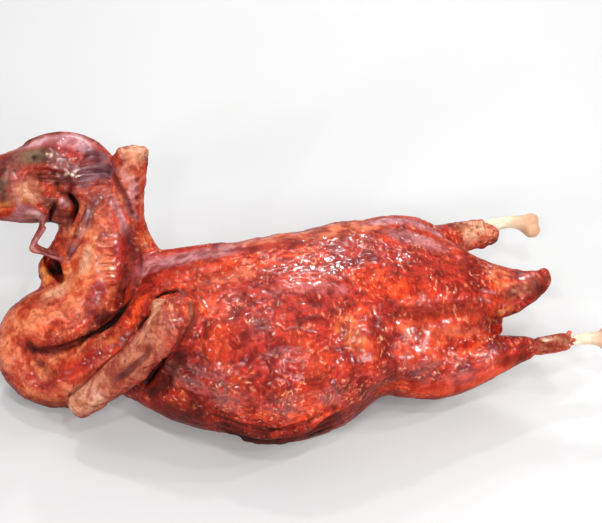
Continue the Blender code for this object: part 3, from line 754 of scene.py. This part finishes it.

# %% Dull zones: terracotta, mauve and painted sheen, slate, dusk and olive
paint(
    "dry",
    (WING_LINE, 1.5), (FAR_WING_LINE[:3], 1.3, 0.6),
    (((15.8, -7, 4.7), (16.8, -6.9, 4.6), (18.3, -6.8, 4.5)), 0.9, 0.6),
    (((14.2, -3.8, 6.6), (15.6, -3.8, 6.6), (16.8, -3.4, 6.7)), 0.9, 0.4),
    (((12.8, 3.3, 5.5), (13.4, 3.4, 5.4), (14.2, 3.5, 5.3)), 0.8, 0.5),
    ((-13.9, 6.1, 12), 1.4, 0.8),
)
paint(
    "mauve",
    # Painted sheen: the pale bands along the crown, the neck's right edge, the shoulder, the back and the
    # far thigh. The jaw, the windpipe strand, the cheek line and the wing spot are mauve in themselves.
    (CROWN_LINE, 1.0, 1.0, 0.2),
    (((-9.1, 5, 11.2), (-8.7, 4.3, 10.3), (-8.4, 3.6, 9.4)), 0.4, 0.8, 0.3),
    (SHOULDER_BAND[:4], 1.2, 0.6),
    (((-8, 1.9, 7.9), (-6.4, 1.5, 8.4), (-4.6, 1.3, 8.8)), 1.1, 0.6), (BACK_BAND, 0.7, 0.25),
    (((7, 2.2, 8.7), (9.2, 2.2, 8.5), (10.8, 2, 8), (12.2, 1.4, 7.2)), 0.6, 0.9),
    (((8, 0.8, 8.8), (9.8, 0.2, 8.5), (11.2, -0.6, 8)), 1.0, 0.6),
    (((-15.1, 6.1, 9.7), (-14.5, 5.9, 10.6), (-13.9, 5.8, 10.1), (-13.4, 5.9, 9.7)), 0.6, 1.0, 0.2),
    (WIND_STRAND, 0.35, 0.6),
    (((-15, 6.5, 12.6), (-14.9, 6.1, 11.6), (-14.7, 6, 10.7)), 0.22, 0.9),
    (((-8.1, 6, 12.4), (-7.6, 5.4, 11.8), (-8, 4.6, 10.6), (-7.5, 4, 9.9)), 0.5, 0.7, 0.6),
    (((-15.8, 6.3, 9.6), (-14.8, 6.1, 9.4), (-13.7, 6, 9.3)), 0.5, 0.8),
    ((-12, 5.5, 11), 0.5, 1.0, 0.2), ((-14, 5.9, 10), 0.75, 1.0, 0.2),
    ((-11.8, -5.2, 4.5), 0.6, 0.6),
)
paint(
    "dusk",
    ((-18.4, 7.1, 11.2), 0.3, 0.9),
    (((-16.4, 7.7, 12.6), (-18, 7.7, 11.6), (-19.6, 7.7, 10.9)), 0.5, 0.5),
    (((15.8, -4.2, 6.3), (16.4, -3.6, 6.6), (17, -3.2, 6.8)), 0.35, 0.7),
    (((-9.1, 5, 11.2), (-8.7, 4.3, 10.3), (-8.4, 3.6, 9.4)), 0.4, 0.25),
    (WINDPIPE_LINE, 0.45, 0.7),
    (((-9.8, 5.3, 11.4), (-10.2, 5, 10.8), (-10.5, 4.7, 10.2), (-10.8, 4.4, 9.5)), 0.55, 0.8),
    (((-9.4, 5.4, 11.6), (-9.4, 5, 11), (-9.6, 4.7, 10.5)), 0.6, 0.45),
    (((-15.8, 7, 12.9), (-14.8, 7.3, 13.4), (-13.9, 7.3, 13.6)), 1.1),
    (((-13.4, 6.2, 12.7), (-12.4, 6.1, 12.6), (-11.3, 6, 12.2)), 0.55, 0.9),
    (((-12.6, 7, 13.5), (-11.7, 6.6, 13.2), (-10.8, 6.2, 12.7)), 0.65, 0.8),
    (((-11.9, 5.7, 12), (-11.6, 5.5, 11.4), (-11.4, 5.4, 10.8)), 0.6, 0.9),
    (((-14.7, 6.5, 12.6), (-13.8, 6, 11.9), (-13, 5.8, 11.4)), 0.7, 0.45),
    (((-12.3, 5.5, 10.2), (-12, 5.4, 9.6), (-12.2, 5.3, 9)), 0.7, 0.9),
    (((-10.9, 4.9, 10.6), (-11.3, 4.4, 9.6), (-12, 4, 8.6)), 0.4, 0.8),
    (((-12.9, 5.7, 11.5), (-12.9, 5.6, 10.9), (-12.4, 5.7, 10.1), (-12.2, 5.8, 9.6)), 0.7),
    (((-15.8, 6.4, 12.2), (-15.7, 6.2, 11.6), (-15.5, 6.1, 11.2)), 0.7),
    (((-14.4, 6.2, 9.6), (-13.4, 6.2, 9.2), (-12.4, 5.9, 9.4)), 0.7, 0.9),
    ((14.9, -4, 6.6), 0.35), ((-12.1, 5.8, 12), 0.6, 0.5), ((-15.9, 6.6, 12.4), 0.9),
    ((-12.1, 5.4, 10.6), 0.6, 0.6),
)
paint(
    "slate",
    (((-11.2, 6, 12.3), (-10.2, 6.3, 12.5), (-9.3, 6.5, 12.3), (-8.9, 6.2, 11.9)), 1.1),
    (((-10.4, 7.2, 13.4), (-9.6, 7.2, 13), (-9.1, 7, 12.5)), 0.8, 0.9),
    (TWISTED_STRAND, 0.32, 1.0, 0.1),
    (((-8.4, -5.5, 7.6), (-9.4, -5.5, 6.7), (-10.6, -5.4, 5.6)), 0.45, 0.6),
)
paint(
    "olive",
    (((-14.1, 7.4, 13.5), (-13.4, 7.25, 13.6), (-12.6, 7.1, 13.7)), 0.9, 1.0, 0.2),
    # Painted shade along the right edge of the wing stump's top
    (((-5.4, -4, 9.9), (-5.7, -4.9, 9.6), (-6.2, -5.7, 8.8)), 0.5, 0.6),
    ((-15.9, 6.5, 12.3), 0.9),
)
for number in range(9):
    swing = 0.35 * math.sin(3.7 * number)
    dab("dusk", (-7.8 + swing, 6.0 - 0.25 * number, 12.5 - 0.36 * number), 0.3, 0.9)
for number, place in enumerate(TAIL_CRUST):
    dab(("cream", "deep", "amber")[number % 3], place, 0.2, (0.7, 0.6, 0.6)[number % 3])

# %% Dark zones: painted shade in the folds and under the body, and near-black painted shade in the slits
SHADED_CUTS = (
    (NECK_FOLD, 0.4), (BEHIND_JAW, 0.4), (JAW_CREASE, 0.25), (THROAT_GROOVE, 0.3),
    (WING_FRONT_SLIT, 0.35), (WING_TOP_SLIT, 0.3), (WING_BACK_SLIT, 0.3),
)
# Near-black painted shade inside the slits, the throat hollow, the ear and the creases of the pleats
paint(
    "charred",
    (((-4.4, -8.5, 2.9), (-2.2, -9.4, 2.8), (0, -9.8, 2.8), (1.8, -9.5, 2.9)), 0.7, 0.8),
    ((-13.1, 4.1, 6.8), 1.0, 1.0, 0.1), ((-12.3, 5.9, 12.2), 0.22, 1.0, 0.1),
    ((-13.5, 7, 13.7), 0.22, 0.9, 0.2), *[(line, 0.17, 0.8) for line in SAGGING_LAYERS],
    *[(inside(cut), width) for cut, width in SHADED_CUTS],
)
# Painted shade: deep brown in the folds, slits and grooves, along the neck's flank, in the armpit and
# under the wing, along the bottom of the belly and the leg, round the vent and the tail, in the eye slit,
# the nape folds and the quill pits
paint(
    "deep",
    (NECK_FOLD, 0.5, 0.9), (NECK_EDGE, 0.3, 0.7), (WING_EDGE, 0.3, 0.8), (WING_BACK_SLIT, 0.7, 0.9),
    (WING_TOP_EDGE, 0.3, 0.7), (THIGH_VALLEY, 0.7, 0.45),
    (((-4.6, -8.5, 3.7), (-2.6, -9.5, 3.5), (-0.2, -10, 3.6), (3, -9.2, 3.9)), 0.8),
    (((12.8, -7.4, 4.4), (14, -7.5, 4.2), (15.4, -7.2, 4.3)), 0.6, 0.6),
    (((-14.8, -1.4, 3.6), (-14.3, -1.9, 3.4), (-13.8, -2.2, 3.5)), 0.45, 0.5),
    (((-10.8, 5, 10.6), (-11.2, 4.7, 9.8), (-11.8, 4.4, 8.9)), 0.22, 0.8),
    (((-11.9, 5.5, 11.6), (-11.4, 5.4, 11), (-11.4, 5.4, 10.4), (-11.8, 5.3, 9.6)), 0.35, 0.8),
    (EYE_SLIT, 0.22, 0.9), (NECK_FLANK, 0.7, 0.65),
    (((-11.2, -0.6, 6.1), (-10.6, -0.4, 6.2), (-10, -0.8, 6.6), (-9.4, -0.8, 7.2)), 0.9, 1.0),
    (((-10.3, -1.7, 6.6), (-9.7, -1.7, 7.1)), 0.4, 0.9),
    (((-5, -8.2, 3.4), (-2.6, -9.4, 3), (0, -9.8, 3), (2.4, -9.4, 3.2)), 1.1, 1.0, 0.2),
    (((-6.6, -7, 4.8), (-5.4, -8, 4.5), (-4, -8.9, 4.2)), 0.8, 0.6),
    (((15, -3.9, 6.6), (16, -3.6, 6.5), (17, -3, 6.6)), 0.5, 0.5),
    (((-9, -5, 4), (-8, -5.6, 4.6), (-7, -6, 6.6), (-6.4, -6, 8)), 0.7),
    (((-8, -6, 3), (-6.8, -7, 3.2), (-5.4, -8, 3.6)), 1.3), (WING_GROOVE, 0.3, 0.7),
    (((13.4, -5, 5.6), (14, -4.8, 5), (14, -4.6, 4.4)), 0.5, 0.7),
    (((12.9, 2.6, 6), (12.6, 0.4, 7.2), (12.8, -1.6, 7.4), (12.6, -3.4, 7.2)), 0.5, 0.5),
    (((-11.3, 5.8, 12), (-11.8, 6.1, 12.6), (-13.8, 6.3, 12.8)), 0.35, 0.6),
    (((-15.4, 0, 4.8), (-15.2, -0.6, 4), (-14.6, -1.3, 3.4)), 0.4, 0.8),
    (((16.4, -4.2, 6.2), (17.2, -3.4, 6.4), (17.5, -2.9, 6.7)), 0.55, 0.8),
    ((15, -7, 4.4), 0.8, 0.5), ((14.8, -4.2, 6.5), 0.9, 0.45),
    *[(line, 0.13, 0.7) for line in NAPE_FOLDS], *[(pit, 0.25, 0.9) for pit in QUILL_PITS],
)

# %% The right side of the head is coloured like the left
on_head = (points[:, 0] < -9.0) & (points[:, 2] > 9.0)
left_half = np.flatnonzero(on_head & (points[:, 1] < HEAD_MIDDLE + 0.1))
right_half = np.flatnonzero(on_head & (points[:, 1] > HEAD_MIDDLE))
tree = kdtree.KDTree(len(left_half))
for place in left_half:
    tree.insert(points[place], int(place))
tree.balance()
twins = np.array([tree.find(place)[1] for place in both_sides(points[right_half])[1]])
share = np.clip((points[right_half, 1] - HEAD_MIDDLE - 0.7) / 0.6, 0, 1)
for name in sorted(set(masks) - {"charred", "crinkled", "tight", "furrow"}):
    masks[name][right_half] += share * (masks[name][twins] - masks[name][right_half])

# Painted shade on the skin that faces downwards
masks["under"] = np.clip(0.45 - 1.3 * normals[:, 2], 0, 1)
# Painted shade: the skin gets darker towards the table
masks["deep"] = np.maximum(masks["deep"], np.clip((2.6 - points[:, 2]) / 2.2, 0, 1) * 0.9)
print("painted masks:", sorted(masks))

# %% Keep the sculpted skin light, and give it its masks
for name, values in masks.items():
    layer = skin.attributes.new(name, "FLOAT", "POINT")
    layer.data.foreach_set("value", np.clip(values, 0, 1).astype(np.float32))
SKIN_TRIANGLES = 195000
triangles = 2 * len(skin.polygons)
if triangles > SKIN_TRIANGLES:
    modify(bird, "DECIMATE", ratio=SKIN_TRIANGLES / triangles)
bird.data.shade_smooth()
print("triangles in the finished skin:", sum(len(face.vertices) - 2 for face in bird.data.polygons))

# %% [markdown]
# ## A short way to write node materials
# Every finish here is procedural. Written out in full, a node tree hides its idea in sockets and
# links, so a small class keeps the calls short. Numbers that are the same all over a surface are
# set straight on the shader, and only what varies is linked.

# %% Material helpers


def colour(hex_code):
    """A linear colour from the usual six-digit code."""
    channels = [int(hex_code[i : i + 2], 16) / 255 for i in (0, 2, 4)]
    linear = [c / 12.92 if c <= 0.04045 else ((c + 0.055) / 1.055) ** 2.4 for c in channels]
    return (*linear, 1.0)


class Finish:
    """One material, with short calls for the nodes that it needs."""

    def __init__(self, name):
        self.material = bpy.data.materials.new(name)
        self.material.use_nodes = True
        self.nodes = self.material.node_tree.nodes
        self.shader = self.nodes["Principled BSDF"]
        self.place = self.node("ShaderNodeTexCoord", "Object", {})

    def feed(self, socket, value):
        """Links an output to a socket, or sets a plain value on it."""
        if isinstance(value, bpy.types.NodeSocket):
            self.material.node_tree.links.new(value, socket)
        else:
            socket.default_value = value

    def node(self, kind, output, inputs, **settings):
        """The named output of a new node, whose inputs are linked or set."""
        node = self.nodes.new(kind)
        for setting, value in settings.items():
            setattr(node, setting, value)
        for socket, value in inputs.items():
            self.feed(node.inputs[socket], value)
        return node.outputs[output]

    def set(self, **values):
        """Sets or links the shader's sockets: spaces in their names are written as _."""
        for name, value in values.items():
            self.feed(self.shader.inputs[name.replace("_", " ")], value)

    def noise(self, size, detail=3.0, curl=0.0, place=None):
        """Noise from 0 to 1, with blobs about `size` metres across."""
        inputs = {"Vector": place or self.place, "Scale": 1 / size, "Detail": detail, "Distortion": curl}
        return self.node("ShaderNodeTexNoise", "Fac", inputs)

    def specks(self, size, place):
        """Distance to the nearest of many scattered seeds, 0 on a seed."""
        return self.node("ShaderNodeTexVoronoi", "Distance", {"Vector": place, "Scale": 1 / size})

    def bent(self, size, reach):
        """The same places pushed about by a broad noise, so that streaks change direction."""
        push = self.node("ShaderNodeTexNoise", "Color", {"Vector": self.place, "Scale": 1 / size})
        inputs = {0: push, 1: (reach, reach, reach), 2: self.place}
        return self.node("ShaderNodeVectorMath", "Vector", inputs, operation="MULTIPLY_ADD")

    def stretched(self, x, y, z, turn=0.0, place=None):
        """The same places squeezed along each axis and turned, for streaks."""
        inputs = {"Vector": place or self.place, "Rotation": (0, 0, turn), "Scale": (x, y, z)}
        return self.node("ShaderNodeMapping", "Vector", inputs)

    def mask(self, name):
        return self.node("ShaderNodeAttribute", "Fac", {}, attribute_name=name)

    def times(self, a, b, plus=0.0, use_clamp=True):
        """`a` times `b` plus the rest, kept between 0 and 1 unless clamping is off."""
        inputs = {0: a, 1: b, 2: plus}
        return self.node("ShaderNodeMath", "Value", inputs, operation="MULTIPLY_ADD", use_clamp=use_clamp)

    def band(self, value, low, high, bottom=0.0, top=1.0):
        """Stretches `value` so that low becomes bottom and high becomes top."""
        inputs = {"Value": value, "From Min": low, "From Max": high, "To Min": bottom, "To Max": top}
        return self.node("ShaderNodeMapRange", "Result", inputs, interpolation_type="SMOOTHSTEP")

    def mix(self, amount, base, over):
        """`over` laid on `base` by an amount from 0 to 1. Colours may be given as codes."""
        inputs = {"Factor": amount}
        for socket, tint in ((6, base), (7, over)):
            inputs[socket] = colour(tint) if isinstance(tint, str) else tint
        return self.node("ShaderNodeMix", 2, inputs, data_type="RGBA")

    def broken(self, name, noise, strength=0.6):
        """A mask whose edge is broken up by a noise."""
        mask = self.mask(name)
        ragged = self.times(self.band(noise, 0.0, 1.0, -0.5, 0.5), strength, mask, use_clamp=False)
        return self.times(ragged, self.band(mask, 0.0, 0.3))

    def amount(self, start, **shares):
        """`start` plus a share of each named mask, kept between 0 and 1."""
        total = start
        for name, share in shares.items():
            total = self.times(self.mask(name), share, total, use_clamp=False)
        return self.times(total, 1.0)

    def bump(self, height, distance, under=None):
        inputs = {"Height": height, "Distance": distance}
        if under is not None:
            inputs["Normal"] = under
        return self.node("ShaderNodeBump", "Normal", inputs)


# %% [markdown]
# ## The glazed skin
# Maltose glaze over browned skin is wet, uneven and slightly see-through. Its colour is mixed from
# brick red, orange and deep red by three sizes of noise, then each painted zone is laid over it,
# painted shade, sheen and glints among them. The crests of the fine bumps get painted highlights
# and their hollows painted shade. A coat gives the wet gloss, a dry zone raises the roughness, and
# two fine bumps break both.

# %% Skin material
glaze = Finish("glazed_duck_skin")
broad = glaze.noise(0.03, 2.0, 0.5)
patchy = glaze.noise(0.010, 4.0, 0.8)
fine = glaze.noise(0.0035, 5.0, 1.2)
flow = glaze.bent(0.03, 0.016)
winding = glaze.noise(0.0034, 0.5, 0.5, place=glaze.stretched(0.42, 1.0, 1.0, turn=0.5, place=flow))
pores = glaze.noise(0.0022, 1.0, 0.4, place=glaze.stretched(1.0, 0.5, 1.0, turn=-0.6, place=flow))
clusters = glaze.noise(0.016, 2.0, 0.8)
taut = glaze.band(glaze.noise(0.019, 1.0, 0.6), 0.42, 0.6)
seeds = glaze.specks(0.007, flow)


def zone(name, tint, dark, light, strength=0.6):
    """Lays one painted zone over the tint, mottled between its dark and its light colour."""
    mottle = glaze.mix(glaze.band(patchy, 0.35, 0.65), dark, light)
    return glaze.mix(glaze.broken(name, patchy, strength), tint, mottle)


tint = glaze.mix(glaze.band(patchy, 0.36, 0.6), "74160e", "b22a1a")
tint = glaze.mix(glaze.band(broad, 0.45, 0.65, 0.0, 0.7), tint, "d03e18")
tint = zone("salmon", tint, "b43c22", "ea8256")
tint = zone("ember", tint, "b4240e", "f04e1c")
tint = zone("amber", tint, "cc5c24", "e89850")
tint = zone("crimson", tint, "80120c", "b82418")
tint = zone("dry", tint, "964434", "c87a5e")
tint = zone("mauve", tint, "a05c60", "c8969a", 0.4)
tint = zone("dusk", tint, "4c201a", "84443a")
tint = zone("slate", tint, "4c2a32", "80585e", 0.4)
tint = zone("olive", tint, "4a362a", "785e48", 0.4)
tint = zone("cream", tint, "c87c5a", "e4ac8a")
# Painted shade in the creases between the sculpted wrinkles
tint = glaze.mix(glaze.times(glaze.mask("furrow"), 0.6), tint, "641010")
grainy = glaze.amount(1.0, salmon=-0.5, amber=-0.4, dry=-0.6, mauve=-0.8, dusk=-0.6, slate=-0.6)
grainy = glaze.amount(grainy, olive=-0.8, tight=-0.7)
# Painted highlights on the crests of the fine pore bumps
ridges = glaze.times(glaze.band(pores, 0.54, 0.7, 0.0, 0.6), grainy)
ridges = glaze.times(ridges, glaze.band(clusters, 0.45, 0.6, 0.25, 1.0))
tint = glaze.mix(ridges, tint, glaze.mix(glaze.band(fine, 0.4, 0.6), "dc6c44", "f0b48c"))
# Painted shade in the hollows of the pore bumps
hollows = glaze.times(glaze.band(pores, 0.3, 0.46, 0.5, 0.0), grainy)
tint = glaze.mix(hollows, tint, "4a0f0a")
# Painted shade in the creases of the winding bump
winding_crease_shade = glaze.times(glaze.band(winding, 0.3, 0.5, 0.35, 0.0), grainy)
tint = glaze.mix(winding_crease_shade, tint, "4c100a")
tint = glaze.mix(glaze.band(fine, 0.35, 0.5, 0.25, 0.0), tint, "5a140c")
# Painted highlights: pale glints on the neck's rings and the temple, and the shank's pale streak
tint = zone("pale", tint, "f0c8a4", "fff0dc", 0.3)
# Painted shade: deep brown in the folds and near black in the crevices
tint = zone("deep", tint, "340a06", "64180f", 0.4)
tint = zone("charred", tint, "0c0403", "1e0805", 0.25)
# Painted shade: the skin that faces downwards is darkened
tint = glaze.mix(glaze.times(glaze.mask("under"), 0.4), tint, "4a0c08")
burnt = glaze.times(glaze.band(seeds, 0.08, 0.2, 1.0, 0.0), glaze.band(patchy, 0.5, 0.56))
tint = glaze.mix(glaze.times(burnt, 0.65), tint, "3c120c")

slack = glaze.amount(glaze.band(taut, 0.0, 1.0, 0.6, 0.4), crinkled=0.4, tight=-0.35)
relief_fine = glaze.bump(glaze.times(winding, slack), 0.0009)
relief_fine = glaze.bump(glaze.times(pores, slack), 0.0004, relief_fine)
gloss = glaze.amount(glaze.band(fine, 0.3, 0.7, 0.4, 0.55), dry=0.3, olive=0.2)
wet = glaze.band(patchy, 0.35, 0.6, 0.1, 0.32)
wet = glaze.amount(wet, crinkled=0.7, dry=-0.3, olive=-0.5, under=-0.4, deep=-0.7, charred=-1.0)
glaze.set(Base_Color=tint, Roughness=gloss, Normal=relief_fine, Coat_Normal=relief_fine)
glaze.set(Coat_Weight=wet, Coat_Roughness=0.05, Coat_IOR=1.7, IOR=1.45, Specular_IOR_Level=0.12)
glaze.set(Subsurface_Weight=0.12, Subsurface_Radius=(1.0, 0.35, 0.2), Subsurface_Scale=0.003)
bird.data.materials.append(glaze.material)

# %% [markdown]
# ## The shank bones
# The two bones that stick out of the legs are roasted clean: an ivory shaft, stained where the
# meat pulled back, and tan knuckles with pitted gristle. Each copies its solid, which already has
# the right size, and is remeshed finely so that the pits and ridges can be pressed into it.

# %% Bone pieces


def bone(node, name):
    piece = copy_of(node, name)
    modify(piece, "SUBSURF", levels=2)
    modify(piece, "REMESH", mode="VOXEL", voxel_size=0.0005)
    modify(piece, "SMOOTH", factor=0.5, iterations=6)
    mesh = piece.data
    places, outward = read(mesh, "co") / CM, read(mesh, "normal")
    lumps = np.array([noise.fractal(p / 0.5, 0.9, 2.0, 3) for p in places])
    pits = np.array([noise.noise(p / 0.16) for p in places])
    tip = places[:, 0].max()
    knuckle = np.clip((places[:, 0] - (tip - 2.0)) / 0.9, 0, 1)
    height = 0.02 * lumps - 0.03 * knuckle * np.clip(pits - 0.2, 0, 1)
    mesh.vertices.foreach_set("co", ((places + outward * height[:, None]) * CM).ravel())
    mesh.attributes.new("knuckle", "FLOAT", "POINT").data.foreach_set("value", knuckle)
    mesh.shade_smooth()
    return piece


left_bone = bone("leg_bone_left", "shank_bone_left")
right_bone = bone("leg_bone_right", "shank_bone_right")
print("bone faces:", len(left_bone.data.polygons), len(right_bone.data.polygons))

# %% Bone material
ivory = Finish("roasted_bone")
stain = ivory.noise(0.006, 4.0, 0.6)
streaks = ivory.noise(0.002, 3.0, 0.3, place=ivory.stretched(0.25, 1.0, 1.0))
tint = ivory.mix(ivory.band(streaks, 0.4, 0.65), "d6c0a2", "e6d8c4")
tint = ivory.mix(ivory.band(stain, 0.55, 0.75, 0.0, 0.6), tint, "d0a078")
tan = ivory.mix(stain, "a86e48", "e2b690")
tint = ivory.mix(ivory.broken("knuckle", stain, 0.8), tint, tan)
pitted = ivory.bump(stain, 0.0006)
pitted = ivory.bump(streaks, 0.0002, pitted)
ivory.set(Base_Color=tint, Normal=pitted, Roughness=ivory.band(stain, 0.3, 0.7, 0.35, 0.55))
ivory.set(Subsurface_Weight=0.15, Subsurface_Radius=(1.0, 0.7, 0.5), Subsurface_Scale=0.002)
for piece in (left_bone, right_bone):
    piece.data.materials.append(ivory.material)

# %% Hang each piece on the root, and hide the solid that it stands for
for piece, node, slot in (
    (bird, "duck", "roast_skin"),
    (left_bone, "leg_bone_left", "bone"),
    (right_bone, "leg_bone_right", "bone"),
):
    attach(piece, "root")
    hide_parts(node)
print("pieces that stand for solids:", bird.name, left_bone.name, right_bone.name)

# %% [markdown]
# ## Table, light and camera
# The bird lies on a plain white table under soft light. A large panel above it gives the soft
# modelling, and two smaller ones behind and in front draw the pale sheen along its edges. Wet
# glaze also shows crisp sparks, and only small bright lamps give those: eleven stand in a ring,
# each one where its mirror image falls on a crinkled part of the skin.

# %% White table
bpy.ops.mesh.primitive_plane_add(size=6.0, location=(0.0, 0.0, 0.0))
table = bpy.context.object
table.name = "white_table"
paper = Finish("white_paper")
paper.set(Base_Color=paper.mix(paper.noise(0.4), "c8c8c8", "cccccc"), Roughness=0.9)
table.data.materials.append(paper.material)

# %% Light tent and panels
world = bpy.data.worlds.new("light_tent")
world.use_nodes = True
world.node_tree.nodes["Background"].inputs["Color"].default_value = (1.0, 1.0, 1.0, 1.0)
world.node_tree.nodes["Background"].inputs["Strength"].default_value = 0.2
bpy.context.scene.world = world


def panel(name, place, target, width, height, power):
    """A soft rectangular lamp at `place`, turned towards `target`, both in metres."""
    light = bpy.data.lights.new(name, "AREA")
    light.shape = "RECTANGLE"
    light.size, light.size_y, light.energy = width, height, power
    lamp = bpy.data.objects.new(name, light)
    lamp.location = place
    lamp.rotation_euler = (Vector(target) - Vector(place)).to_track_quat("-Z", "Y").to_euler()
    bpy.context.scene.collection.objects.link(lamp)


panel("top_panel", (-0.1, 0.4, 1.2), (0, 0, 0.05), 1.8, 1.4, 4.8)
panel("back_panel", (0.25, 1.0, 0.7), (0, 0, 0.05), 0.4, 0.2, 2.2)
panel("front_panel", (0.1, -0.95, 0.75), (0, 0, 0.05), 0.35, 0.3, 4.2)
SPARK_PLACES = (
    (0.05, -0.55, 1.15), (0.3, 0.93, 0.77), (-0.15, 0.54, 1.14), (0.55, 0.85, 0.8), (0.83, -0.89, 0.55),
    (0.94, -0.45, 0.86), (0.92, -0.2, 0.87), (-1.04, -0.57, 0.54), (-0.8, -0.75, 0.7),
    (-0.3, -0.85, 0.9), (0.34, -0.75, 0.9),
)
for number, spot in enumerate(SPARK_PLACES):
    panel(f"spark_{number}", spot, (0, 0, 0.05), 0.08, 0.07, 2.35)

# %% Camera
AIM = Vector((0.0308, 0.0453, 0.04))
AZIMUTH, ELEVATION, DISTANCE = math.radians(-12), math.radians(42), 1.0
back = Vector(
    (
        math.sin(AZIMUTH) * math.cos(ELEVATION),
        -math.cos(AZIMUTH) * math.cos(ELEVATION),
        math.sin(ELEVATION),
    )
)
lens = bpy.data.cameras.new("camera")
lens.lens, lens.sensor_width = 88.6, 36.0
camera = bpy.data.objects.new("camera", lens)
camera.location = AIM + DISTANCE * back
camera.rotation_euler = (-back).to_track_quat("-Z", "Y").to_euler()
bpy.context.scene.collection.objects.link(camera)
bpy.context.scene.camera = camera
bpy.context.scene.view_settings.view_transform = "Standard"
